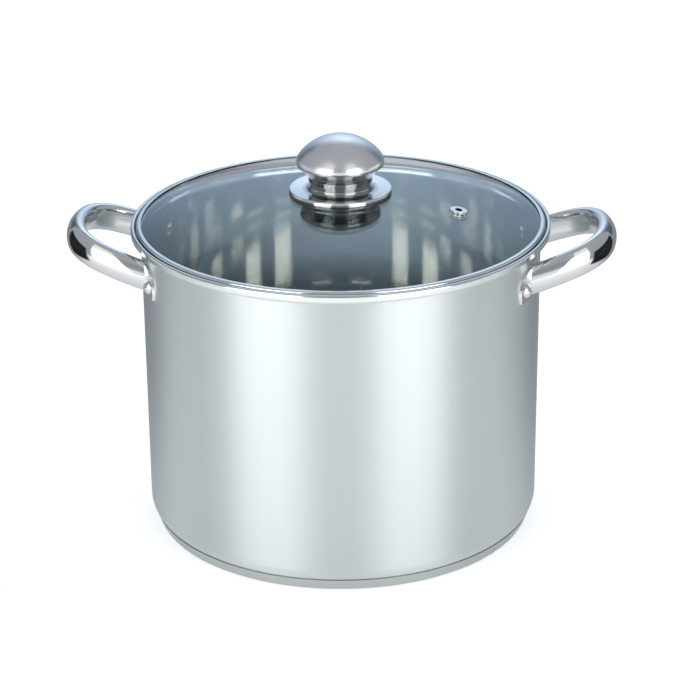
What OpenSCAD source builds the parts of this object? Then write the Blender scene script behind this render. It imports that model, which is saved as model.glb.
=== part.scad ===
// Stainless steel stock pot with a domed glass lid, two riveted loop handles and a spun steel knob.
// Millimetres. The origin is the middle of the base on the table, +Z is up,
// the handles lie along +X and -X, and the front is -Y.

/* [Pot] */
// Outside diameter of the straight wall
pot_d = 240; // [230:1:250]
// Height of the rolled lip above the table
pot_h = 189.2; // [186:0.2:192]
// Thickness of the body's sheet
wall_t = 0.8; // [0.7:0.1:0.9]
// Outside radius between the wall and the floor
corner_r = 10; // [9.8:0.1:10.4]

/* [Rim] */
// Inside diameter of the lip, round the lid's band
lip_in_d = 246.8; // [246.6:0.1:247.4]
// Height of the ledge on which the lid sits, below the top of the lip
seat_depth = 5.35; // [5:0.05:5.6]
// Inside radius of the two bends of the ledge
seat_bend_r = 1.1; // [0.9:0.1:1.2]
// Inside radius of the rolled edge
roll_r = 0.5; // [0.4:0.05:0.6]
// Height of the turned-down hem of the rolled edge
hem_h = 2.4; // [1.5:0.1:3]

/* [Base] */
// Thickness of the heat-spreading core
core_t = 3.6; // [3.4:0.1:4]
// Thickness of the cap's sheet
cap_t = 0.6; // [0.5:0.1:0.8]
// Diameter of the cap at the table
cap_foot_d = 231.4; // [230:0.1:232]
// Diameter of the cap at its upper edge
cap_top_d = 235.8; // [235.7:0.1:236.2]
// Height of the cap's upper edge
cap_h = 7; // [6.8:0.1:7.1]

/* [Handles] */
// Width of the oval tube in the plane of the loop
tube_w = 11; // [9:0.5:13]
// Height of the oval tube across the plane of the loop
tube_h = 17.5; // [15:0.5:20]
// Wall of the oval tube
tube_t = 1.2; // [0.8:0.1:1.6]
// Height of the tube's middle line over the wall's outside
handle_z = 168.25; // [162:0.25:172]
// Rise of the loop away from the pot, in degrees
handle_tilt = 20.3; // [10:0.1:25]
// Distance of the tube's middle line from the wall at the crown, in the loop's plane
handle_reach = 41.95; // [40:0.05:46]
// Bend radius of the crown
crown_r = 55.5; // [50:0.5:60]
// Bend radius of each corner
bend_r = 28; // [24:0.5:32]
// Bend radius of each leg
leg_r = 90; // [80:1:100]

/* [Brackets and rivets] */
// Thickness of the bracket's plate
bracket_t = 1.5; // [1.2:0.1:2]
// Radius of the bracket's ear
ear_r = 13; // [12:0.5:14]
// Angle of the rivets from the handle's middle
rivet_a = 23.8; // [23.6:0.1:24.2]
// Height of the rivets
rivet_z = 163; // [161:0.5:165]
// Diameter of a rivet's outer head
rivet_head_d = 8.6; // [7:0.2:8.8]
// Diameter of a rivet's shank
rivet_d = 5; // [4:0.5:6]

/* [Lid] */
// Height of the glass's top above the table
crown_z = 208; // [207:0.1:209]
// Radius of the glass dome's outside
dome_r = 395; // [385:1:405]
// Thickness of the glass
glass_t = 4; // [3.5:0.1:4.1]
// Diameter of the glass
glass_d = 242.4; // [241.6:0.2:242.8]
// Outside diameter of the band
band_d = 245; // [244.6:0.1:245.2]
// Thickness of the band's sheet
band_t = 0.55; // [0.45:0.05:0.6]
// Inside diameter of the band's top, round the visible glass
band_in_d = 239.6; // [238.6:0.2:240.2]
// Depth of the band's skirt below the seat
skirt_h = 4.4; // [3:0.2:8]

/* [Vent] */
// Distance of the vent from the lid's middle
vent_r = 73; // [60:1:80]
// Direction of the vent, from +X
vent_a = -15; // [-180:5:180]
// Outside diameter of the eyelet
vent_d = 10.5; // [9:0.5:12]
// Diameter of the steam hole
vent_bore_d = 4.5; // [3.5:0.25:4.75]

/* [Knob] */
// Diameter of the dome
knob_d = 52.6; // [52.2:0.2:53.4]
// Height of the dome's top above the glass
knob_h = 33.9; // [33.5:0.2:34.5]
// Radius of the dome's rounded edge
knob_edge_r = 6.3; // [5.9:0.1:6.7]
// Height of the neck's top above the glass
neck_top = 6.1; // [5.8:0.1:6.4]
// Diameter of the neck
neck_d = 36.8; // [36:0.2:38]
// Diameter of the saucer
saucer_d = 61.8; // [61:0.2:62.6]
// Thickness of the knob's sheet
knob_t = 0.8; // [0.6:0.1:1]
// Diameter of the knob's screw
screw_d = 5; // [4:0.5:5]

/* [Hidden] */

$fn = 180;
// Facets of the small circles in the turned profiles
small_fn = 64;
// Facets of the dome's large circles
dome_fn = 1440;
// Overlap that makes a cut pass right through
past = 1;
// Clearance between pieces that touch
clear = 0.05;

pot_r = pot_d / 2;
floor_z = cap_t + core_t;
// How far the core stops short of the cap's side, and runs out under the body's corner
core_inset = 3;
core_lap = 2;
cap_edge_r = 1.2;
lip_in_r = lip_in_d / 2;
seat_z = pot_h - seat_depth;
seat_bend_z = seat_z - wall_t - seat_bend_r;
roll_z = pot_h - roll_r - wall_t;
roll_mid_r = lip_in_r + wall_t + roll_r;

bracket_r = pot_r + bracket_t;
// Rays on which neighbouring bends of a handle meet, from whole-number triangles, so that they meet exactly
crown_ray = [24, 7] / 25;
bend_ray = [7, 24] / 25;
leg_ray = [0, 1];
// Middles of the bends of half a handle, in the loop's plane
crown_mid = [handle_reach - crown_r, 0];
bend_mid = crown_mid + (crown_r - bend_r) * crown_ray;
leg_mid = bend_mid - (leg_r - bend_r) * bend_ray;
leg_y = leg_mid[1] + leg_r;
// End of the straight legs, inside the wall, before they are cut to the bracket
leg_end = -16;
// Radius of the narrow ends of the tube's oval section
tube_end_r = 4;
// Height at which a leg meets the bracket, and half the height of its slanting section there
foot_z = handle_z + (sqrt(pot_r * pot_r - leg_y * leg_y) - pot_r) * tan(handle_tilt);
foot_half_h = tube_h / 2 / cos(handle_tilt);
// How far the bracket shows round the tube's end
foot_margin = 0.6;
// Middle of the ear, from the leg and the rivet
ear_mid = [leg_y + 4.6, rivet_z - 1];
ear_bottom = foot_z - foot_half_h;
// Heights of a rivet's outer and inner heads, and how far the shank stands in behind the wall
head_h = 2.9;
inner_head_h = 1.4;
shank_stand = 0.5;
// How far a head is sunk before it is cut to the round surface under it
head_sink = 0.15;

dome_z = crown_z - dome_r;
glass_r = glass_d / 2;
band_r = band_d / 2;
band_in_r = band_in_d / 2;
function dome_top(r) = dome_z + sqrt(dome_r * dome_r - r * r);
function dome_under(r) = dome_z + sqrt(pow(dome_r - glass_t, 2) - r * r);
// The band's heights are rounded outwards, so that its arcs and flats meet exactly
function up(z) = ceil(z * 20) / 20;
function down(z) = floor(z * 20) / 20;
band_lip_z = up(dome_top(band_in_r) + clear);
band_top_z = band_lip_z + band_t;
band_seat_z = down(dome_under(glass_r) - clear) - band_t;
// Inner face of the skirt, which hangs clear of the pot's wall
skirt_r = lip_in_r - 5.25;
// Outside radii and middles of the band's upper and lower edges, and of the fold to the skirt
band_round_r = 1.4;
band_foot_r = 0.9;
band_fold_r = 0.6;
band_round_mid = [band_r - band_round_r, band_top_z - band_round_r];
band_foot_mid = [band_r - band_foot_r, band_seat_z + band_foot_r];
band_fold_mid = [skirt_r + band_t + band_fold_r, band_seat_z - band_fold_r];
// Flats that make up each of the band's small bends
arc_steps = 6;

vent_bore_r = vent_bore_d / 2;
vent_hole_r = vent_bore_r + 1.3;
vent_pipe_t = 0.5;
vent_flange_t = 0.7;
vent_seal_t = 0.4;

knob_r = knob_d / 2;
// Ray on which the dome's top and its rounded edge meet, from a whole-number triangle
dome_ray = [4, 3] / 5;
// Radius of the dome's top, and the middles of the top and of the rounded edge
dome_cap_r = (knob_r - knob_edge_r) / dome_ray[0] + knob_edge_r;
dome_cap_mid = [0, crown_z + knob_h - dome_cap_r];
dome_edge_mid = dome_cap_mid + (dome_cap_r - knob_edge_r) * dome_ray;
// Height and width of the dome's turned-in edge
dome_edge_z = dome_edge_mid[1] - 1.5;
dome_turn_in = 4.2;
neck_r = neck_d / 2;
neck_z = crown_z + neck_top;
// Radius of the cup's foot, height of its straight ring, and radius of its mouth under the dome
cup_foot_r = neck_r + 0.8;
cup_ring_h = 2.7;
cup_top_r = knob_r - 1.6;
saucer_r = saucer_d / 2;
saucer_foot_z = dome_top(saucer_r) + 3 * clear;
// Radii of the saucer's rim and of its flare to the neck, height of the rim, and depth of the dish
saucer_round_r = 1.2;
saucer_flare_r = 3;
saucer_top_z = crown_z + 1.5;
saucer_dish = 0.9;
screw_r = screw_d / 2;
glass_hole_r = screw_r + 1.6;
// Threaded boss inside the knob, with its collar and the closed end over the screw
boss_r = 6;
boss_z = crown_z + 1.3;
boss_collar_r = 10;
boss_collar_h = 1.6;
boss_end_t = 2;
// Soft and steel washers on both sides of the glass
gasket_t = boss_z - crown_z - 2 * clear;
top_gasket_r = 13.8;
bottom_gasket_r = 10.2;
bottom_gasket_z = dome_under(0) - 1.3;
washer_r = 9;
washer_t = 1;
washer_z = bottom_gasket_z - clear - washer_t;
screw_head_r = screw_d;
screw_head_h = 3.2;
screw_top_z = neck_z + 3.5;
// Length, width and depth of the screw's crossed recess
recess = [5.5, 1.1, 1.6];

steel = "silver";
polished = "gainsboro";
rubber = "whitesmoke";

// Quarter of a ring in the plane: quarter 0 is up and to the right, then anticlockwise
module quarter_ring(middle, inner, outer, quarter) {
    translate(middle)
        rotate(90 * quarter)
            intersection() {
                difference() {
                    circle(r = outer, $fn = small_fn);
                    circle(r = inner, $fn = small_fn);
                }
                square(outer + past);
            }
}

// Rectangle between two corners
module block(low, high) {
    translate(low)
        square(high - low);
}

// Oval of four tangent arcs, half as wide as half_w and half as high as half_h, with long end radius end_r.
// The ends are at its top and bottom.
module oval(half_w, half_h, end_r) {
    reach = half_h - end_r;
    side_r = (reach * reach + half_w * half_w - end_r * end_r) / (2 * (half_w - end_r));
    join_y = reach * side_r / (side_r - end_r);
    for (side = [-1, 1])
        translate([0, side * reach])
            circle(r = end_r, $fn = small_fn);
    intersection() {
        translate([half_w - side_r, 0])
            circle(r = side_r, $fn = 4 * small_fn);
        translate([side_r - half_w, 0])
            circle(r = side_r, $fn = 4 * small_fn);
        square([2 * half_w, 2 * join_y], center = true);
    }
}

// Section of the drawn body, from the middle of the floor to the hem of the rolled lip
module body_profile() {
    round_mid = [pot_r - corner_r, floor_z + corner_r];
    block([0, floor_z], [round_mid[0], floor_z + wall_t]);
    quarter_ring(round_mid, corner_r - wall_t, corner_r, 3);
    block([pot_r - wall_t, round_mid[1]], [pot_r, seat_bend_z]);
    quarter_ring([pot_r + seat_bend_r, seat_bend_z], seat_bend_r, seat_bend_r + wall_t, 1);
    block([pot_r + seat_bend_r, seat_z - wall_t], [lip_in_r - seat_bend_r, seat_z]);
    quarter_ring([lip_in_r - seat_bend_r, seat_z + seat_bend_r], seat_bend_r, seat_bend_r + wall_t, 3);
    block([lip_in_r, seat_z + seat_bend_r], [lip_in_r + wall_t, roll_z]);
    for (quarter = [0, 1])
        quarter_ring([roll_mid_r, roll_z], roll_r, roll_r + wall_t, quarter);
    block([roll_mid_r + roll_r, roll_z - hem_h], [roll_mid_r + roll_r + wall_t, roll_z]);
}

// Stands its children on the wall at an angle from +X, with their own +Z pointing out of the pot
module on_wall(angle, radius, height) {
    rotate([0, 0, angle])
        translate([radius, 0, height])
            rotate([0, 90, 0])
                children();
}

// Angles of the two rivets of the handle on one side: side is 1 for +X and -1 for -X
function rivet_angles(side) = [for (turn = [-1, 1]) (side > 0 ? 0 : 180) + turn * rivet_a];

// Hole for a rivet through wall and bracket
module rivet_hole(angle) {
    on_wall(angle, pot_r - wall_t - past, rivet_z)
        cylinder(r = rivet_d / 2 + clear, h = wall_t + bracket_t + 2 * past);
}

module pot_body() {
    color(steel)
        difference() {
            rotate_extrude()
                body_profile();
            for (side = [-1, 1], angle = rivet_angles(side))
                rivet_hole(angle);
        }
}

module base_core() {
    color("lightgray")
        translate([0, 0, cap_t])
            cylinder(r1 = cap_foot_d / 2 - core_inset, r2 = pot_r - corner_r + core_lap, h = core_t);
}

// Section of the cap: a shallow dish with a leaning side
module cap_profile() {
    foot_r = cap_foot_d / 2;
    top_r = cap_top_d / 2;
    edge_mid = [foot_r - cap_edge_r, cap_edge_r];
    block([0, 0], [edge_mid[0], cap_t]);
    quarter_ring(edge_mid, cap_edge_r - cap_t, cap_edge_r, 3);
    polygon([[foot_r - cap_t, edge_mid[1]], [foot_r, edge_mid[1]], [top_r, cap_h], [top_r - cap_t, cap_h]]);
}

module base_cap() {
    color(steel)
        rotate_extrude()
            cap_profile();
}

// Section of the handle's oval tube
module tube_section() {
    difference() {
        oval(tube_w / 2, tube_h / 2, tube_end_r);
        oval(tube_w / 2 - tube_t, tube_h / 2 - tube_t, tube_end_r - tube_t);
    }
}

// One bend of the tube in the loop's plane, between two rays from its middle
module tube_bend(middle, radius, from_ray, to_ray) {
    translate(middle)
        intersection() {
            rotate_extrude()
                translate([radius, 0])
                    tube_section();
            linear_extrude(2 * tube_h, center = true)
                polygon([[0, 0], 2 * radius * from_ray, 2 * radius * to_ray]);
        }
}

// Corner, leg bend and straight end at +Y
module half_loop() {
    tube_bend(bend_mid, bend_r, crown_ray, bend_ray);
    tube_bend(leg_mid, leg_r, bend_ray, leg_ray);
    translate([leg_end, leg_y, 0])
        rotate([90, 0, 90])
            linear_extrude(leg_mid[0] - leg_end)
                tube_section();
}

// The whole loop on the +X side, cut to the face of the brackets
module loop_handle() {
    difference() {
        translate([pot_r, 0, handle_z])
            rotate([0, -handle_tilt, 0]) {
                tube_bend(crown_mid, crown_r, [crown_ray[0], -crown_ray[1]], crown_ray);
                half_loop();
                mirror([0, 1, 0])
                    half_loop();
            }
        cylinder(r = bracket_r, h = 2 * pot_h);
    }
}

module right_handle() {
    color(polished)
        loop_handle();
}

module left_handle() {
    color(polished)
        mirror([1, 0, 0])
            loop_handle();
}

// Outline of a bracket, seen along the handle: a seat for the tube's end and an ear for the rivet
module bracket_outline() {
    translate([leg_y, foot_z])
        oval(tube_w / 2 + foot_margin, foot_half_h + foot_margin, tube_end_r + foot_margin);
    intersection() {
        translate(ear_mid)
            circle(r = ear_r);
        block([leg_y, ear_bottom], [leg_y + 2 * ear_r, pot_h]);
    }
}

// Bracket on the +X side, at +Y: a plate bent to the wall
module bracket() {
    difference() {
        intersection() {
            rotate([90, 0, 90])
                linear_extrude(pot_d)
                    bracket_outline();
            difference() {
                cylinder(r = bracket_r, h = pot_h);
                translate([0, 0, -past])
                    cylinder(r = pot_r, h = pot_h + 2 * past);
            }
        }
        rivet_hole(rivet_a);
    }
}

module placed_bracket(side, end) {
    color(polished)
        mirror([side < 0 ? 1 : 0, 0, 0])
            mirror([0, end < 0 ? 1 : 0, 0])
                bracket();
}

module left_front_bracket() {
    placed_bracket(-1, -1);
}

module left_rear_bracket() {
    placed_bracket(-1, 1);
}

module right_front_bracket() {
    placed_bracket(1, -1);
}

module right_rear_bracket() {
    placed_bracket(1, 1);
}

// Turned cap of a sphere, flat side down
module round_head(radius, height) {
    ball_r = (radius * radius + height * height) / (2 * height);
    rotate_extrude($fn = small_fn)
        intersection() {
            translate([0, height - ball_r])
                circle(r = ball_r, $fn = 2 * small_fn);
            block([0, 0], [radius, height]);
        }
}

// Rivets of one handle: a shank through wall and bracket, a domed head outside and a low one inside
module rivets(side) {
    inside_r = pot_r - wall_t;
    shank_from = inside_r - shank_stand;
    color(polished)
        for (angle = rivet_angles(side)) {
            on_wall(angle, shank_from, rivet_z)
                cylinder(r = rivet_d / 2, h = bracket_r + past - shank_from, $fn = small_fn);
            difference() {
                on_wall(angle, bracket_r - head_sink, rivet_z)
                    round_head(rivet_head_d / 2, head_h);
                cylinder(r = bracket_r, h = pot_h);
            }
            intersection() {
                on_wall(angle, inside_r + head_sink, rivet_z)
                    rotate([180, 0, 0])
                        round_head(rivet_head_d / 2, inner_head_h);
                cylinder(r = inside_r, h = pot_h);
            }
        }
}

module left_handle_rivets() {
    rivets(-1);
}

module right_handle_rivets() {
    rivets(1);
}

// Stands its children on the glass at the vent, with their own +Z along the glass's normal
module at_vent() {
    rotate([0, 0, vent_a])
        translate([0, 0, dome_z])
            rotate([0, asin(vent_r / dome_r), 0])
                translate([0, 0, dome_r])
                    children();
}

module lid_glass() {
    color("lightcyan", 0.4)
        difference() {
            rotate_extrude()
                intersection() {
                    translate([0, dome_z])
                        difference() {
                            circle(r = dome_r, $fn = dome_fn);
                            circle(r = dome_r - glass_t, $fn = dome_fn);
                        }
                    block([glass_hole_r, seat_z - past], [glass_r, crown_z + past]);
                }
            at_vent()
                translate([0, 0, -2 * glass_t])
                    cylinder(r = vent_hole_r, h = 3 * glass_t, $fn = small_fn);
        }
}

// Points of an arc round middle, from one angle to another
function arc(middle, radius, from, to, steps = arc_steps) = [
    for (step = [0:steps])
        let (angle = from + (to - from) * step / steps)
            middle + radius * [cos(angle), sin(angle)]
];

// One face of the band's sheet, drawn in by inset: over the glass's edge, round it and under it to the skirt
function band_face(inset) = concat(
    [[band_in_r, band_top_z - inset]],
    arc(band_round_mid, band_round_r - inset, 90, 0),
    arc(band_foot_mid, band_foot_r - inset, 0, -90),
    arc(band_fold_mid, band_fold_r + inset, 90, 180)
);

// Section of the band, with a bead along the skirt's edge
module band_profile() {
    bead_mid = [skirt_r + band_t / 2, band_seat_z - skirt_h];
    inner_face = band_face(band_t);
    last = len(inner_face) - 1;
    polygon(concat(
        band_face(0),
        arc(bead_mid, band_t, 60, -240, 2 * arc_steps),
        [for (i = [last:-1:0]) inner_face[i]]
    ));
}

module lid_band() {
    color(polished)
        rotate_extrude()
            band_profile();
}

// Section of the eyelet: a pipe through the glass with a flange on each side
module eyelet_profile() {
    rim_r = vent_d / 2 - vent_flange_t / 2;
    flange_z = [vent_seal_t + clear, -glass_t - 2 * vent_seal_t - vent_flange_t];
    block([vent_bore_r, flange_z[1]], [vent_bore_r + vent_pipe_t, flange_z[0] + vent_flange_t]);
    for (low = flange_z) {
        block([vent_bore_r, low], [rim_r, low + vent_flange_t]);
        translate([rim_r, low + vent_flange_t / 2])
            circle(d = vent_flange_t, $fn = small_fn);
    }
}

module vent_eyelet() {
    color(polished)
        at_vent()
            rotate_extrude($fn = small_fn)
                eyelet_profile();
}

// Soft liner between the eyelet and the glass: a sleeve with a washer on each side
module vent_grommet() {
    sleeve_r = vent_bore_r + vent_pipe_t + clear;
    flange_r = vent_d / 2 - vent_flange_t;
    low_z = -glass_t - vent_seal_t - clear;
    color(rubber)
        at_vent()
            rotate_extrude($fn = small_fn) {
                block([sleeve_r, low_z], [vent_hole_r - clear, vent_seal_t]);
                block([sleeve_r, clear], [flange_r, vent_seal_t]);
                block([sleeve_r, low_z], [flange_r, low_z + vent_seal_t]);
            }
}

// Area under the dome's outside, drawn in by inset
module dome_area(inset) {
    join = dome_cap_mid + (dome_cap_r - inset) * dome_ray;
    intersection() {
        union() {
            intersection() {
                translate(dome_cap_mid)
                    circle(r = dome_cap_r - inset, $fn = 4 * small_fn);
                block([0, join[1]], [knob_d, crown_z + knob_d]);
            }
            translate(dome_edge_mid)
                circle(r = knob_edge_r - inset, $fn = small_fn);
            polygon([[0, dome_edge_z], [dome_edge_mid[0], dome_edge_z], join, [0, join[1]]]);
        }
        block([0, dome_edge_z], [knob_d, crown_z + knob_d]);
    }
}

module knob_dome() {
    color(polished)
        rotate_extrude() {
            difference() {
                dome_area(0);
                dome_area(knob_t);
            }
            intersection() {
                dome_area(0);
                block([knob_r - dome_turn_in, dome_edge_z], [knob_d, dome_edge_z + knob_t]);
            }
        }
}

// Flared cup under the dome, with a floor that stands on the neck
module knob_cup() {
    low_z = neck_z + clear;
    ring_z = low_z + cup_ring_h;
    top_z = dome_edge_z - clear;
    color(polished)
        rotate_extrude() {
            block([boss_r + clear, low_z], [cup_foot_r, low_z + knob_t]);
            block([cup_foot_r - knob_t, low_z], [cup_foot_r, ring_z]);
            polygon([
                [cup_foot_r - knob_t, ring_z],
                [cup_foot_r, ring_z],
                [cup_top_r, top_z],
                [cup_top_r - knob_t, top_z]
            ]);
        }
}

// Area under the saucer's and neck's outside, drawn in by inset
module saucer_area(inset) {
    round_mid = [saucer_r - saucer_round_r, saucer_top_z - saucer_round_r];
    flare_mid = [neck_r + saucer_flare_r, saucer_top_z - saucer_dish + saucer_flare_r];
    dish_z = saucer_top_z - saucer_dish - inset;
    block([round_mid[0], saucer_foot_z - inset], [saucer_r - inset, round_mid[1]]);
    translate(round_mid)
        circle(r = saucer_round_r - inset, $fn = small_fn);
    polygon([
        [0, saucer_foot_z - inset],
        [round_mid[0], saucer_foot_z - inset],
        [round_mid[0], saucer_top_z - inset],
        [flare_mid[0], dish_z],
        [0, dish_z]
    ]);
    difference() {
        block([0, dish_z], [flare_mid[0], flare_mid[1]]);
        translate(flare_mid)
            circle(r = saucer_flare_r + inset, $fn = small_fn);
    }
    block([0, flare_mid[1]], [neck_r - inset, neck_z - inset]);
}

module knob_saucer() {
    color(polished)
        difference() {
            rotate_extrude()
                difference() {
                    saucer_area(0);
                    saucer_area(knob_t);
                }
            translate([0, 0, neck_z - 2 * knob_t])
                cylinder(r = boss_r + clear, h = 3 * knob_t);
        }
}

// Threaded boss that the screw pulls down on the glass: it passes through saucer and cup
module knob_insert() {
    collar_z = neck_z + knob_t + 2 * clear;
    color("darkgray")
        difference() {
            union() {
                translate([0, 0, boss_z])
                    cylinder(r = boss_r, h = screw_top_z + boss_end_t - boss_z);
                translate([0, 0, collar_z])
                    cylinder(r = boss_collar_r, h = boss_collar_h);
            }
            translate([0, 0, boss_z - past])
                cylinder(r = screw_r + clear, h = screw_top_z - boss_z + past + clear);
        }
}

// Screw from under the lid, with a domed head and a crossed recess
module knob_screw() {
    head_z = washer_z - clear;
    color(steel)
        difference() {
            union() {
                translate([0, 0, head_z - past])
                    cylinder(r = screw_r, h = screw_top_z - head_z + past);
                translate([0, 0, head_z])
                    rotate([180, 0, 0])
                        round_head(screw_head_r, screw_head_h);
            }
            for (turn = [0, 90])
                translate([0, 0, head_z - screw_head_h])
                    rotate([0, 0, turn])
                        cube([recess[0], recess[1], 2 * recess[2]], center = true);
        }
}

module knob_top_gasket() {
    color(rubber)
        translate([0, 0, crown_z + clear])
            rotate_extrude()
                block([screw_r + clear, 0], [top_gasket_r, gasket_t]);
}

// Soft washer under the glass, with a sleeve that keeps the screw off the edge of the hole
module knob_bottom_gasket() {
    seat_top = dome_under(bottom_gasket_r) - clear;
    color(rubber)
        rotate_extrude() {
            block([screw_r + clear, bottom_gasket_z], [glass_hole_r - clear, crown_z - clear]);
            block([screw_r + clear, bottom_gasket_z], [bottom_gasket_r, seat_top]);
        }
}

module knob_washer() {
    color(steel)
        translate([0, 0, washer_z])
            rotate_extrude()
                block([screw_r + 2 * clear, 0], [washer_r, washer_t]);
}

pot_body();
base_core();
base_cap();
left_handle();
right_handle();
left_front_bracket();
left_rear_bracket();
right_front_bracket();
right_rear_bracket();
left_handle_rivets();
right_handle_rivets();
lid_glass();
lid_band();
vent_eyelet();
vent_grommet();
knob_dome();
knob_cup();
knob_saucer();
knob_insert();
knob_screw();
knob_top_gasket();
knob_bottom_gasket();
knob_washer();
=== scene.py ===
"""Looks of the stock pot: brushed and polished steel, a glass lid and a plain studio."""
import math

import bpy
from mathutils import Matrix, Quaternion, Vector

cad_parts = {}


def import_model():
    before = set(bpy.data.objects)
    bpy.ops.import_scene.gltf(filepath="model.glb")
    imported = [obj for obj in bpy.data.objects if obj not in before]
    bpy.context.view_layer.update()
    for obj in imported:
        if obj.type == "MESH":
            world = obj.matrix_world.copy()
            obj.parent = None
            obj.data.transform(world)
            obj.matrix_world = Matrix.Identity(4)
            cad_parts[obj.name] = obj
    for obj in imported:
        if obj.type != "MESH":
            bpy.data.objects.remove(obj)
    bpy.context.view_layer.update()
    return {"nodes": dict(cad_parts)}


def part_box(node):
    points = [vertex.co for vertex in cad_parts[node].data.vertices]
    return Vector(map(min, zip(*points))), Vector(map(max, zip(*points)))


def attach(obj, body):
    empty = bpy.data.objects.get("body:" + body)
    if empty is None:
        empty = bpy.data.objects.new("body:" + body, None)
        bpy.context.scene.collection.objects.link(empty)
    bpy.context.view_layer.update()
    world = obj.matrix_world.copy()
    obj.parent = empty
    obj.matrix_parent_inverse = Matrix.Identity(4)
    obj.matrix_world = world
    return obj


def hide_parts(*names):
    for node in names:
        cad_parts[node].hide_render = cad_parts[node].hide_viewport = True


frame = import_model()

NODES = frame["nodes"]

# Camera, from the fit to the photograph
CAMERA_PLACE = (0.0701, -1.3373, 0.6725)
CAMERA_TARGET = (0.00495, 0.00024, 0.1035)
CAMERA_ROLL = math.radians(-0.437)
CAMERA_LENS = 121.79
SENSOR_WIDTH = 36.0

# Axes of the frame
ASIDE = 0
DEEP = 1
UP = 2

# Sockets of a Mix node for colours
MIX_ONE = 6
MIX_OTHER = 7
MIX_RESULT = 2

# Glossy Depth below the first: no mirror so far; above the second: several
NO_MIRROR = 0.5
SEVERAL_MIRRORS = 1.5
MIRROR_BOUNCES = 8

WHITE = (1.0, 1.0, 1.0, 1.0)

# Room, and the share of all light that rays from inside the closed pot meet
ROOM_LOW = (0.38, 0.41, 0.45, 1.0)
ROOM_HIGH = (0.45, 0.47, 0.51, 1.0)
INSIDE_SHARE = 0.12

# Floor: for the eye it is lifted to white, least in front of the pot, where the panels light it most
FLOOR_RADIUS = 3.0
FLOOR_STEPS = 96
FLOOR_DROP = 0.0002
FLOOR_COLOUR = (0.80, 0.80, 0.80, 1.0)
FLOOR_LIFT = (0.385, 0.60)
FLOOR_LIFT_Y = (-0.12, 0.08)
FLOOR_LIFT_FAR = (0.45, 0.95)

# Floor as mirrors meet it: its light falls from front to back and close to the pot; its paint is grey behind
# the pot, at both sides
FLOOR_MIRROR_LIFT = (0.58, 0.12)
FLOOR_MIRROR_Y = (-0.6, 0.15)
FLOOR_MIRROR_NEAR = (0.65, 1.0)
FLOOR_MIRROR_REACH = (0.12, 0.24)
FLOOR_MIRROR_TINT = (1.0, 0.985, 0.93, 1.0)
FLOOR_MIRROR_COLOUR = (0.30, 0.30, 0.31, 1.0)
FLOOR_MIRROR_BACK = (0.0, 0.20)
FLOOR_MIRROR_SIDE = (0.15, 0.30)

# Studio cards: azimuths in degrees from the front (-Y), positive towards +X; sizes in metres. A fade is an
# axis, two distances from the middle along it, between which the light changes, and its share at the second
CARD_STEPS = 24
PANEL_RADIUS = 1.0
PANEL_HEIGHTS = (0.05, 2.0)
LEFT_PANEL = (-56, -17.5)
RIGHT_PANEL = (21.5, 58)
PANEL_LIGHT = 2.63
PANEL_INSIDE = 1.60
PANEL_FADES = ((UP, 0.72, 1.0, (0.40, 0.40, 0.40, 1.0)),)
FRONT_RADIUS = 1.05
FRONT_HEIGHTS = (0.03, 0.9)
FRONT_CARD = (-25, 23)
FRONT_COLOUR = (0.92, 1.0, 1.03, 1.0)
FRONT_FADES = ((UP, 0.22, 0.42, (0.36, 0.36, 0.37, 1.0)),)
BACK_RADIUS = 1.2
BACK_HEIGHTS = (0.2, 1.1)
BACK_PANEL = (130, 230)
BACK_COLOUR = (0.53, 0.69, 0.89, 1.0)
BACK_FADES = (
    (UP, 0.40, 0.95, (2.0, 1.87, 1.70, 1.0)),
    (ASIDE, 0.10, 0.36, (0.80, 0.80, 0.82, 1.0)),
    (ASIDE, 0.40, 0.75, (0.25, 0.25, 0.25, 1.0)),
)
REAR_RADIUS = 1.1
REAR_HEIGHTS = (0.02, 0.35)
LEFT_REAR = (-112, -86)
RIGHT_REAR = (82, 120)
REAR_COLOUR = (0.95, 1.0, 1.03, 1.0)
TOP_HEIGHT = 1.15
TOP_X = 0.55
TOP_Y = (0.50, 1.35)
TOP_COLOUR = (0.85, 0.95, 1.15, 1.0)
TOP_LIGHT = 0.45
TOP_FADES = (
    (DEEP, 0.58, 0.90, (3.2, 3.2, 3.2, 1.0)),
    (ASIDE, 0.12, 0.45, (0.5, 0.5, 0.5, 1.0)),
)
FLAG_X = 0.30
FLAG_Y = (-0.10, 0.25)
FLAG_HEIGHTS = (0.09, 0.235)
FLAG_REACH = 0.19
FLAG_COLOUR = (0.015, 0.016, 0.018, 1.0)

# Colours of the metals
STEEL = (0.735, 0.74, 0.74, 1.0)
BODY_STEEL = (0.712, 0.747, 0.747, 1.0)
BASE_STEEL = (0.57, 0.605, 0.605, 1.0)
INSIDE_STEEL = (0.68, 0.68, 0.655, 1.0)
CORE_ALUMINIUM = (0.8, 0.8, 0.81, 1.0)

# Finishes: a brushed one is its roughness and how far it draws out highlights, a polished one its roughness
BODY_BRUSHING = (0.49, 0.85)
BASE_BRUSHING = (0.42, 0.6)
CORE_BRUSHING = (0.5, 0.3)
INSIDE_POLISH = 0.05
HANDLE_POLISH = 0.10
BAND_POLISH = 0.08
DOME_POLISH = 0.26
KNOB_POLISH = 0.12
FASTENER_POLISH = 0.25

# Noise and relief of all materials
CLOUD_DETAIL = 3.0
RELIEF_DEPTH = 0.0001

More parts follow.
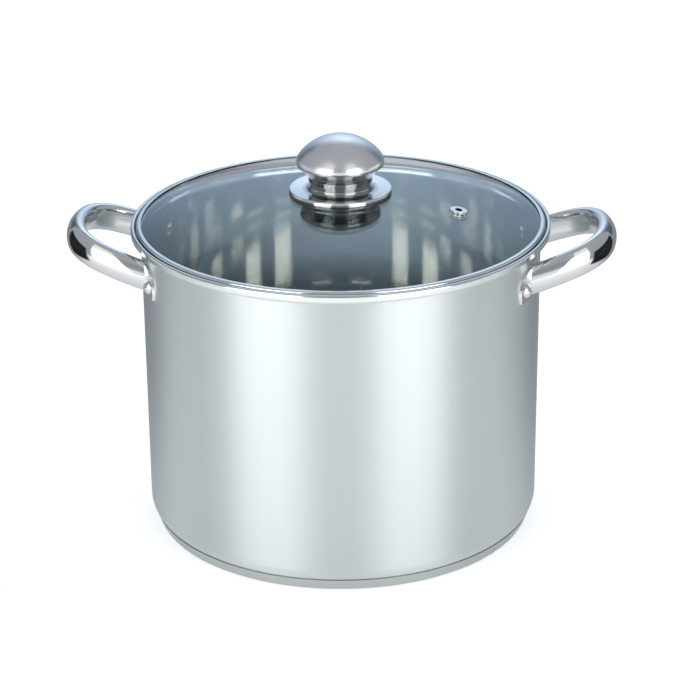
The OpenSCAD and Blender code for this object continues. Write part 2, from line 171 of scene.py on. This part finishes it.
# Brushing: fine rings round the axis over wide blotches; the body's rim is polished above an edge
GRAIN_ALONG = 6.0
GRAIN_ACROSS = 2600.0
GRAIN_DETAIL = 4.0
GRAIN_ROUGHNESS = 0.6
GRAIN_SPREAD = (-0.025, 0.025)
GRAIN_RANGE = (0.3, 0.7)
GRAIN_SHADE = 0.975
GRAIN_RELIEF = 0.04
BLOTCH_SCALE = 14.0
BLOTCH_SPREAD = (-0.02, 0.02)
RIM_EDGE = 0.0006
RIM_POLISH = 0.72
QUARTER_TURN = 0.25

# Polish: wipe marks, stains and a faint orange peel; painted shade darkens the knob's steel inwards between
# two radii
WIPE_SCALE = 60.0
WIPE_DETAIL = 5.0
WIPE_SHARES = (0.7, 1.5)
WIPE_RANGE = (0.3, 0.75)
STAIN_SCALE = 25.0
STAIN_SHADE = 0.95
PEEL_SCALE = 900.0
PEEL_RELIEF = 0.015
# Painted shade on the knob's neck: the radii between which it fades in, and the share of the colour that is
# left
KNOB_SHADE_RADII = (0.0195, 0.0235)
PAINTED_NECK_SHADE = 0.40

# Glass of the lid
GLASS_COLOUR = (0.93, 0.975, 0.97, 1.0)
GLASS_TINT = (0.62, 0.95, 1.0, 1.0)
GLASS_IOR = 1.5
SMEAR_SCALE = 40.0
SMEAR_ROUGHNESS = (0.0, 0.012)
SMEAR_RANGE = (0.45, 0.8)

# Silicone of the gaskets
SILICONE = (0.82, 0.82, 0.80, 1.0)
SILICONE_SCALE = 300.0
SILICONE_SHADE = 0.8
SILICONE_ROUGHNESS = (0.5, 0.7)
SILICONE_DULL_SCALE = 80.0
SKIN_SCALE = 1500.0
SKIN_RELIEF = 0.1

# Drawn body of the pot, as the CAD has it
POT_RADIUS = 0.120
SHEET = 0.0008
CORNER_RADIUS = 0.010
FLOOR_UNDER = 0.0042
SEAT_DEPTH = 0.00535
SEAT_BEND = 0.0011
LIP_INSIDE = 0.1234
ROLL_RADIUS = 0.0005
HEM = 0.0024

# Band of the lid, as the CAD has it
BAND_INSIDE = 0.1198
BAND_SHEET = 0.00055
BAND_ROUND = 0.0014
BAND_FOOT = 0.0009
BAND_FOLD = 0.0006
SKIRT_INSIDE = 0.11815
SKIRT_DEPTH = 0.0044
BEAD_ENDS = (-240, 60)

# Meshes of both; a bend's lead is a share of its radius
TURN_STEPS = 240
ARC_STEPS = 10
LEAD = 0.1
SHARP_ANGLE = math.radians(50)


def add(tree, kind, inputs=None, **settings):
    """Adds a node, sets its properties, and fills or links its inputs."""
    node = tree.nodes.new(kind)
    for key, value in settings.items():
        setattr(node, key, value)
    for key, value in (inputs or {}).items():
        if isinstance(value, bpy.types.NodeSocket):
            tree.links.new(value, node.inputs[key])
        else:
            node.inputs[key].default_value = value
    return node


def calc(tree, operation, *values):
    """One Math node; returns its output."""
    inputs = dict(enumerate(values))
    return add(tree, "ShaderNodeMath", inputs, operation=operation).outputs[0]


def between(tree, value, low, high, start=0.0, end=1.0):
    """Maps a value from start..end to low..high, clamped."""
    inputs = {"Value": value, "From Min": start, "From Max": end, "To Min": low, "To Max": high}
    return add(tree, "ShaderNodeMapRange", inputs).outputs["Result"]


def mix_colour(tree, factor, one, other, blend="MIX"):
    """Mixes two colours."""
    inputs = {"Factor": factor, MIX_ONE: one, MIX_OTHER: other}
    return add(tree, "ShaderNodeMix", inputs, data_type="RGBA", blend_type=blend).outputs[MIX_RESULT]


def shaded(colour, share):
    """A colour made darker."""
    return (*(share * value for value in colour[:3]), 1.0)


def blank_material(name):
    """A material with no nodes but its output; returns the material, its tree and that output."""
    material = bpy.data.materials.new(name)
    material.use_nodes = True
    tree = material.node_tree
    tree.nodes.clear()
    return material, tree, tree.nodes.new("ShaderNodeOutputMaterial")


def surface(tree, output, inputs):
    """Gives a material its Principled shader."""
    shader = add(tree, "ShaderNodeBsdfPrincipled", inputs)
    tree.links.new(shader.outputs[0], output.inputs["Surface"])


def turned_place(tree):
    """A place's three coordinates in the CAD frame and its distance from the Z axis."""
    place = add(tree, "ShaderNodeTexCoord").outputs["Object"]
    axes = add(tree, "ShaderNodeSeparateXYZ", {0: place}).outputs
    flat = add(tree, "ShaderNodeCombineXYZ", {ASIDE: axes[ASIDE], DEEP: axes[DEEP]}).outputs[0]
    radius = add(tree, "ShaderNodeVectorMath", {0: flat}, operation="LENGTH").outputs["Value"]
    return axes, radius


def turned_grain(tree):
    """Noise drawn out around the Z axis, as turning and brushing leave it, and the height of the place."""
    axes, radius = turned_place(tree)
    drawn = {
        ASIDE: calc(tree, "MULTIPLY", axes[ASIDE], GRAIN_ALONG),
        DEEP: calc(tree, "MULTIPLY", axes[DEEP], GRAIN_ALONG),
        UP: calc(tree, "MULTIPLY", calc(tree, "ADD", axes[UP], radius), GRAIN_ACROSS),
    }
    inputs = {
        "Vector": add(tree, "ShaderNodeCombineXYZ", drawn).outputs[0],
        "Scale": 1.0,
        "Detail": GRAIN_DETAIL,
        "Roughness": GRAIN_ROUGHNESS,
    }
    return add(tree, "ShaderNodeTexNoise", inputs).outputs["Fac"], axes[UP]


def cloud(tree, scale, detail=CLOUD_DETAIL):
    """Soft noise in the object's own frame."""
    place = add(tree, "ShaderNodeTexCoord").outputs["Object"]
    inputs = {"Vector": place, "Scale": scale, "Detail": detail}
    return add(tree, "ShaderNodeTexNoise", inputs).outputs["Fac"]


def relief(tree, height, strength):
    """The surface's normal with a fine relief."""
    inputs = {"Height": height, "Strength": strength, "Distance": RELIEF_DEPTH}
    return add(tree, "ShaderNodeBump", inputs).outputs[0]


def brushed_steel(name, colour, brushing, polished_from=None):
    """Steel brushed finely around the Z axis; above polished_from it is polished."""
    material, tree, output = blank_material(name)
    roughness, stretch = brushing
    grain, height = turned_grain(tree)
    blotch = cloud(tree, BLOTCH_SCALE)
    uneven = calc(tree, "ADD", between(tree, grain, *GRAIN_SPREAD), between(tree, blotch, *BLOTCH_SPREAD))
    rough = calc(tree, "ADD", uneven, roughness)
    if polished_from is not None:
        polish = between(tree, height, 0.0, RIM_POLISH * roughness, polished_from, polished_from + RIM_EDGE)
        rough = calc(tree, "SUBTRACT", rough, polish)
    bright = between(tree, grain, 0.0, 1.0, *GRAIN_RANGE)
    inputs = {
        "Base Color": mix_colour(tree, bright, shaded(colour, GRAIN_SHADE), colour),
        "Metallic": 1.0,
        "Roughness": rough,
        "Anisotropic": stretch,
        "Anisotropic Rotation": QUARTER_TURN,
        "Tangent": add(tree, "ShaderNodeTangent", direction_type="RADIAL", axis="Z").outputs[0],
        "Normal": relief(tree, grain, GRAIN_RELIEF),
    }
    surface(tree, output, inputs)
    return material


def polished_steel(name, colour, roughness, peel=True, shade_radii=None):
    """Mirror-polished steel with faint wipe marks; painted shade darkens it towards a groove, between two
    radii.
    """
    material, tree, output = blank_material(name)
    wipes = cloud(tree, WIPE_SCALE, WIPE_DETAIL)
    smooth, dull = (share * roughness for share in WIPE_SHARES)
    paint = mix_colour(tree, cloud(tree, STAIN_SCALE), shaded(colour, STAIN_SHADE), colour)
    # Painted shade: inside the given radii, towards the knob's neck, the steel's colour is darkened
    if shade_radii:
        radius = turned_place(tree)[1]
        unshaded_share = between(tree, radius, 0.0, 1.0, *shade_radii)
        paint = mix_colour(tree, unshaded_share, shaded(colour, PAINTED_NECK_SHADE), paint)
    inputs = {
        "Base Color": paint,
        "Metallic": 1.0,
        "Roughness": between(tree, wipes, smooth, dull, *WIPE_RANGE),
    }
    if peel:
        inputs["Normal"] = relief(tree, cloud(tree, PEEL_SCALE), PEEL_RELIEF)
    surface(tree, output, inputs)
    return material


def lid_glass(name):
    """Clear tempered glass, faintly green, with blue-green reflections and a few smears."""
    material, tree, output = blank_material(name)
    inputs = {
        "Base Color": GLASS_COLOUR,
        "Roughness": between(tree, cloud(tree, SMEAR_SCALE), *SMEAR_ROUGHNESS, *SMEAR_RANGE),
        "IOR": GLASS_IOR,
        "Specular Tint": GLASS_TINT,
        "Transmission Weight": 1.0,
    }
    surface(tree, output, inputs)
    return material


def silicone(name, colour):
    """Dull soft rubber with a fine skin."""
    material, tree, output = blank_material(name)
    inputs = {
        "Base Color": mix_colour(tree, cloud(tree, SILICONE_SCALE), shaded(colour, SILICONE_SHADE), colour),
        "Roughness": between(tree, cloud(tree, SILICONE_DULL_SCALE), *SILICONE_ROUGHNESS),
        "Normal": relief(tree, cloud(tree, SKIN_SCALE), SKIN_RELIEF),
    }
    surface(tree, output, inputs)
    return material


def dress(material, *nodes):
    """Gives CAD nodes a material."""
    for name in nodes:
        slots = NODES[name].data.materials
        slots.clear()
        slots.append(material)


def mesh_object(name, points, faces, *looks):
    """A new object in the scene with a mesh and its materials."""
    mesh = bpy.data.meshes.new(name)
    mesh.from_pydata(points, [], faces)
    for material in looks:
        mesh.materials.append(material)
    thing = bpy.data.objects.new(name, mesh)
    bpy.context.scene.collection.objects.link(thing)
    return thing


def arc(middle, radius, start, end):
    """Points of an arc in a section; degrees from +R to +Z."""
    turns = [math.radians(start + (end - start) * i / ARC_STEPS) for i in range(ARC_STEPS + 1)]
    return [(middle[0] + radius * math.cos(turn), middle[1] + radius * math.sin(turn)) for turn in turns]


def bend(middle, radius, start, end):
    """An arc with a short straight lead at both ends, which keeps the flats beside it flat when shaded."""
    points = arc(middle, radius, start, end)
    lead = math.copysign(LEAD * radius, end - start)
    first, last = math.radians(start), math.radians(end)
    before = (points[0][0] + lead * math.sin(first), points[0][1] - lead * math.cos(first))
    after = (points[-1][0] - lead * math.sin(last), points[-1][1] + lead * math.cos(last))
    return [before, *points, after]


def body_section():
    """Section of the pot's body: outside from the middle of the floor to the lip, then inside back to it.
    Also gives the place in the list at which the inside of the wall starts."""
    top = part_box("pot_body")[1].z
    seat = top - SEAT_DEPTH
    roll = (LIP_INSIDE + SHEET + ROLL_RADIUS, top - ROLL_RADIUS - SHEET)
    corner = (POT_RADIUS - CORNER_RADIUS, FLOOR_UNDER + CORNER_RADIUS)
    lower = (POT_RADIUS + SEAT_BEND, seat - SHEET - SEAT_BEND)
    upper = (LIP_INSIDE - SEAT_BEND, seat + SEAT_BEND)
    hem_in = roll[0] + ROLL_RADIUS
    outside = [
        (0.0, FLOOR_UNDER),
        *bend(corner, CORNER_RADIUS, -90, 0),
        *bend(lower, SEAT_BEND, 180, 90),
        *bend(upper, SEAT_BEND + SHEET, -90, 0),
        *bend(roll, ROLL_RADIUS, 180, 0),
        (hem_in, roll[1] - HEM),
        (hem_in + SHEET, roll[1] - HEM),
        *bend(roll, ROLL_RADIUS + SHEET, 0, 180),
        *bend(upper, SEAT_BEND, 0, -90),
        *bend(lower, SEAT_BEND + SHEET, 90, 180),
    ]
    inside = [*bend(corner, CORNER_RADIUS - SHEET, 0, -90), (0.0, FLOOR_UNDER + SHEET)]
    return outside + inside, len(outside) - 1


def band_section():
    """Section of the lid's band: its inside from over the glass's edge, round and under that edge to the bead
    of the skirt, then its outside back."""
    low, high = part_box("lid_band")
    seat = low.z + SKIRT_DEPTH + BAND_SHEET
    shoulder = (high.x - BAND_ROUND, high.z - BAND_ROUND)
    foot = (high.x - BAND_FOOT, seat + BAND_FOOT)
    fold = (SKIRT_INSIDE + BAND_SHEET + BAND_FOLD, seat - BAND_FOLD)
    bead = (SKIRT_INSIDE + BAND_SHEET / 2, seat - SKIRT_DEPTH)
    return [
        (BAND_INSIDE, high.z),
        (BAND_INSIDE, high.z - BAND_SHEET),
        *bend(shoulder, BAND_ROUND - BAND_SHEET, 90, 0),
        *bend(foot, BAND_FOOT - BAND_SHEET, 0, -90),
        *bend(fold, BAND_FOLD + BAND_SHEET, 90, 180),
        *arc(bead, BAND_SHEET, *BEAD_ENDS),
        *bend(fold, BAND_FOLD, 180, 90),
        *bend(foot, BAND_FOOT, -90, 0),
        *bend(shoulder, BAND_ROUND, 0, 90),
        (BAND_INSIDE, high.z),
    ]


def turned(name, section, *looks, inner_from=math.inf):
    """A smooth sheet: the section turned round the Z axis, with a second material from one point on."""
    points = []
    rings = []
    for radius, height in section:
        steps = TURN_STEPS if radius else 1
        turns = [2 * math.pi * i / TURN_STEPS for i in range(steps)]
        rings.append([len(points) + i % steps for i in range(TURN_STEPS + 1)])
        points += [(radius * math.cos(turn), radius * math.sin(turn), height) for turn in turns]
    faces = []
    marks = []
    for place, (ring, other) in enumerate(zip(rings, rings[1:])):
        for i in range(TURN_STEPS):
            corners = (ring[i], ring[i + 1], other[i + 1], other[i])
            faces.append(tuple(dict.fromkeys(corners)))
            marks.append(int(place >= inner_from))
    sheet = mesh_object(name, points, faces, *looks)
    for face, mark in zip(sheet.data.polygons, marks):
        face.use_smooth = True
        face.material_index = mark
    sheet.data.set_sharp_from_angle(angle=SHARP_ANGLE)
    return sheet


def pot_sheet(outer, inner):
    """The body as one smooth turned sheet, with a material of its own inside."""
    section, inside_from = body_section()
    sheet = turned("pot_sheet", section, outer, inner, inner_from=inside_from)
    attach(sheet, "pot")
    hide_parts("pot_body")


def band_sheet(steel):
    """The lid's band as a smooth turned sheet."""
    sheet = turned("band_sheet", band_section(), steel)
    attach(sheet, "lid")
    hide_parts("lid_band")


def seen_straight(tree):
    """1 where the eye meets the studio without a mirror between, through glass or not."""
    path = add(tree, "ShaderNodeLightPath").outputs
    direct = calc(tree, "LESS_THAN", path["Glossy Depth"], NO_MIRROR)
    through = calc(tree, "MULTIPLY", path["Is Transmission Ray"], direct)
    return calc(tree, "MAXIMUM", path["Is Camera Ray"], through)


def from_inside(tree):
    """1 on a ray that comes out through the lid after several mirrors inside the pot."""
    path = add(tree, "ShaderNodeLightPath").outputs
    mirrored = calc(tree, "GREATER_THAN", path["Glossy Depth"], SEVERAL_MIRRORS)
    return calc(tree, "MULTIPLY", path["Is Transmission Ray"], mirrored)


def faded(tree, colour, fades):
    """A card's colour with its fades."""
    place = add(tree, "ShaderNodeNewGeometry").outputs["Position"]
    away = add(tree, "ShaderNodeVectorMath", {0: place}, operation="ABSOLUTE").outputs[0]
    axes = add(tree, "ShaderNodeSeparateXYZ", {0: away}).outputs
    for axis, start, end, share in fades:
        tint = mix_colour(tree, between(tree, axes[axis], 0.0, 1.0, start, end), WHITE, share)
        colour = mix_colour(tree, 1.0, colour, tint, "MULTIPLY")
    return colour


def card_material(name, colour, light=1.0, fades=(), inside=INSIDE_SHARE, reach=None):
    """A glowing card that the straight view passes through; inside is the share of its light that rays from
    the pot's inside meet, and reach is how near a ray must start to meet it at all."""
    material, tree, output = blank_material(name)
    inputs = {
        "Color": faded(tree, colour, fades) if fades else colour,
        "Strength": calc(tree, "MULTIPLY", between(tree, from_inside(tree), 1.0, inside), light),
    }
    glow = add(tree, "ShaderNodeEmission", inputs)
    clear = add(tree, "ShaderNodeBsdfTransparent")
    unseen = seen_straight(tree)
    if reach:
        way = add(tree, "ShaderNodeLightPath").outputs["Ray Length"]
        unseen = calc(tree, "MAXIMUM", unseen, calc(tree, "GREATER_THAN", way, reach))
    shader = add(tree, "ShaderNodeMixShader", {0: unseen, 1: glow.outputs[0], 2: clear.outputs[0]})
    tree.links.new(shader.outputs[0], output.inputs["Surface"])
    return material


def stage_mesh(name, points, faces, material):
    """A mesh of the studio, which isn't part of the object."""
    thing = mesh_object(name, points, faces, material)
    return thing


def flat_card(name, corners, material):
    """A flat card, which throws no shadow."""
    card = stage_mesh(name, corners, [tuple(range(len(corners)))], material)
    card.visible_shadow = False
    return card


def around(azimuth, radius, height):
    """A point at an azimuth from the front."""
    angle = math.radians(azimuth)
    return (radius * math.sin(angle), -radius * math.cos(angle), height)


def curved_card(name, azimuths, radius, heights, material):
    """An upright card bent round the pot, which throws no shadow."""
    first, last = azimuths
    turns = [first + (last - first) * i / CARD_STEPS for i in range(CARD_STEPS + 1)]
    points = [around(turn, radius, height) for turn in turns for height in heights]
    faces = [(2 * i, 2 * i + 2, 2 * i + 3, 2 * i + 1) for i in range(CARD_STEPS)]
    card = stage_mesh(name, points, faces, material)
    card.visible_shadow = False


def floor():
    """The pale floor: matt, lifted to white for the eye with the pot's shadow kept; greyer for mirrors."""
    material, tree, output = blank_material("floor")
    mirrored = add(tree, "ShaderNodeLightPath").outputs["Is Glossy Ray"]
    place = add(tree, "ShaderNodeNewGeometry").outputs["Position"]
    reach = add(tree, "ShaderNodeVectorMath", {0: place}, operation="LENGTH").outputs["Value"]
    axes = add(tree, "ShaderNodeSeparateXYZ", {0: place}).outputs
    depth = axes[DEEP]
    behind = calc(tree, "MULTIPLY", mirrored, between(tree, depth, 0.0, 1.0, *FLOOR_MIRROR_BACK))
    aside = between(tree, calc(tree, "ABSOLUTE", axes[ASIDE]), 0.0, 1.0, *FLOOR_MIRROR_SIDE)
    paint = mix_colour(tree, calc(tree, "MULTIPLY", behind, aside), FLOOR_COLOUR, FLOOR_MIRROR_COLOUR)
    matt = add(tree, "ShaderNodeBsdfDiffuse", {"Color": paint})
    near = between(tree, depth, *FLOOR_LIFT, *FLOOR_LIFT_Y)
    far = between(tree, reach, *FLOOR_LIFT, *FLOOR_LIFT_FAR)
    plain = calc(tree, "MULTIPLY", seen_straight(tree), calc(tree, "MAXIMUM", near, far))
    glow = calc(tree, "MULTIPLY", mirrored, between(tree, depth, *FLOOR_MIRROR_LIFT, *FLOOR_MIRROR_Y))
    glow = calc(tree, "MULTIPLY", glow, between(tree, reach, *FLOOR_MIRROR_NEAR, *FLOOR_MIRROR_REACH))
    tint = mix_colour(tree, mirrored, WHITE, FLOOR_MIRROR_TINT)
    lift = add(tree, "ShaderNodeEmission", {"Color": tint, "Strength": calc(tree, "ADD", plain, glow)})
    both = add(tree, "ShaderNodeAddShader", {0: matt.outputs[0], 1: lift.outputs[0]})
    tree.links.new(both.outputs[0], output.inputs["Surface"])
    points = [around(360 * i / FLOOR_STEPS, FLOOR_RADIUS, -FLOOR_DROP) for i in range(FLOOR_STEPS)]
    stage_mesh("floor", points, [tuple(range(FLOOR_STEPS))], material)


def world():
    """White behind the pot for the eye; a plain grey room for light and mirrors."""
    room = bpy.data.worlds.new("studio")
    bpy.context.scene.world = room
    room.use_nodes = True
    tree = room.node_tree
    tree.nodes.clear()
    direction = add(tree, "ShaderNodeTexCoord").outputs["Generated"]
    height = add(tree, "ShaderNodeSeparateXYZ", {0: direction}).outputs[UP]
    room_colour = mix_colour(tree, between(tree, height, 0.0, 1.0), ROOM_LOW, ROOM_HIGH)
    colour = mix_colour(tree, seen_straight(tree), room_colour, WHITE)
    share = between(tree, from_inside(tree), 1.0, INSIDE_SHARE)
    light = add(tree, "ShaderNodeBackground", {"Color": colour, "Strength": share})
    output = add(tree, "ShaderNodeOutputWorld")
    tree.links.new(light.outputs[0], output.inputs["Surface"])


def side_panels():
    """Two tall lights, one at each side of the camera."""
    for name, azimuths in (("left_panel", LEFT_PANEL), ("right_panel", RIGHT_PANEL)):
        material = card_material(name, WHITE, PANEL_LIGHT, PANEL_FADES, PANEL_INSIDE)
        curved_card(name, azimuths, PANEL_RADIUS, PANEL_HEIGHTS, material)


def back_panel():
    """A wide blue-grey light behind the pot, which the glass mirrors."""
    material = card_material("back_panel", BACK_COLOUR, fades=BACK_FADES)
    curved_card("back_panel", BACK_PANEL, BACK_RADIUS, BACK_HEIGHTS, material)


def front_card():
    """A low pale card under the camera, between the side panels."""
    material = card_material("front_card", FRONT_COLOUR, fades=FRONT_FADES)
    curved_card("front_card", FRONT_CARD, FRONT_RADIUS, FRONT_HEIGHTS, material)


def rear_cards():
    """Two low pale cards beside the pot, which light the edges of its wall."""
    for name, azimuths in (("left_rear", LEFT_REAR), ("right_rear", RIGHT_REAR)):
        curved_card(name, azimuths, REAR_RADIUS, REAR_HEIGHTS, card_material(name, REAR_COLOUR))


def top_panel():
    """A flat light over the back of the pot."""
    near, far = TOP_Y
    corners = [
        (-TOP_X, near, TOP_HEIGHT),
        (TOP_X, near, TOP_HEIGHT),
        (TOP_X, far, TOP_HEIGHT),
        (-TOP_X, far, TOP_HEIGHT),
    ]
    flat_card("top_panel", corners, card_material("top_panel", TOP_COLOUR, TOP_LIGHT, TOP_FADES))


def flag(name, side):
    """A flat black card beside a handle, which only that handle mirrors."""
    x = side * FLAG_X
    near, far = FLAG_Y
    low, high = FLAG_HEIGHTS
    corners = [(x, near, low), (x, far, low), (x, far, high), (x, near, high)]
    card = flat_card(name, corners, card_material(name, FLAG_COLOUR, reach=FLAG_REACH))
    card.visible_diffuse = False
    card.visible_transmission = False


def studio():
    """The floor, the room, the lights and cards round the pot, and the flags at its handles."""
    floor()
    world()
    side_panels()
    back_panel()
    front_card()
    rear_cards()
    top_panel()
    flag("left_flag", -1)
    flag("right_flag", 1)


def camera():
    """The photograph's view."""
    data = bpy.data.cameras.new("camera")
    data.lens = CAMERA_LENS
    data.sensor_width = SENSOR_WIDTH
    thing = bpy.data.objects.new("camera", data)
    look = (Vector(CAMERA_TARGET) - Vector(CAMERA_PLACE)).to_track_quat("-Z", "Y")
    thing.location = CAMERA_PLACE
    thing.rotation_euler = (look @ Quaternion((0, 0, 1), CAMERA_ROLL)).to_euler()
    bpy.context.scene.collection.objects.link(thing)
    bpy.context.scene.camera = thing


def pot_looks():
    """The body's sheet, and the materials of the base and the handles."""
    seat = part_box("pot_body")[1].z - SEAT_DEPTH
    body = brushed_steel("body_steel", BODY_STEEL, BODY_BRUSHING, seat)
    pot_sheet(body, polished_steel("inside_steel", INSIDE_STEEL, INSIDE_POLISH, peel=False))
    dress(brushed_steel("base_steel", BASE_STEEL, BASE_BRUSHING), "base_cap")
    dress(brushed_steel("core_aluminium", CORE_ALUMINIUM, CORE_BRUSHING), "base_core")
    handle = polished_steel("handle_steel", STEEL, HANDLE_POLISH)
    for side in ("left", "right"):
        dress(handle, f"{side}_handle", f"{side}_handle_rivets")
        dress(handle, f"{side}_front_bracket", f"{side}_rear_bracket")


def lid_looks():
    """The band's sheet, and the materials of the glass, the vent and the knob."""
    dress(lid_glass("lid_glass"), "lid_glass")
    band = polished_steel("band_steel", STEEL, BAND_POLISH)
    band_sheet(band)
    dress(band, "vent_eyelet")
    dress(polished_steel("dome_steel", STEEL, DOME_POLISH), "knob_dome")
    # The knob's cup and saucer carry the painted shade of the neck
    dress(polished_steel("knob_steel", STEEL, KNOB_POLISH, shade_radii=KNOB_SHADE_RADII), "knob_cup", "knob_saucer")
    fastener = polished_steel("fastener_steel", STEEL, FASTENER_POLISH)
    dress(fastener, "knob_insert", "knob_screw", "knob_washer")
    dress(silicone("gasket_silicone", SILICONE), "vent_grommet", "knob_top_gasket", "knob_bottom_gasket")


camera()
studio()
pot_looks()
lid_looks()

scene = bpy.context.scene
scene.view_settings.view_transform = "Standard"
scene.cycles.glossy_bounces = MIRROR_BOUNCES
